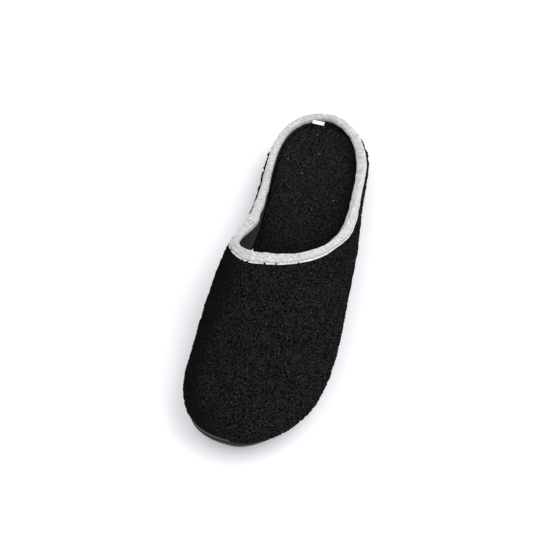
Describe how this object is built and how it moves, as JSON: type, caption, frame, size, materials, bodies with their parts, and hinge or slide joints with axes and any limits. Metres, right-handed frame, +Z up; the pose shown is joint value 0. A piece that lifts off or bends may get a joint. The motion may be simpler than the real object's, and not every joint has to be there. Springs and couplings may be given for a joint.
{
  "type": "house slipper",
  "caption": "Closed-toe house slipper for the left foot: black terry upper and footbed, pale velour collar binding, dark grey rubber sole with oval lugs",
  "frame": {"origin": "On the floor under the middle of the slipper's bounding box, with the sole resting on Z = 0", "axes": "Z up; the toe points along -Y and the heel along +Y; the medial side is -X and the lateral side +X"},
  "size_m": [0.102, 0.2884, 0.068],
  "materials": {
    "outsole": "matte moulded",
    "insole": "terry loop pile",
    "upper": "terry loop pile",
    "collar_binding": "short velour nap",
    "heel_tab": "plain woven tape"
  },
  "bodies": {
    "root": {"outsole": "outsole", "insole": "insole", "upper": "upper", "collar_binding": "collar_binding", "heel_tab": "heel_tab"}
  },
  "joints": []
}
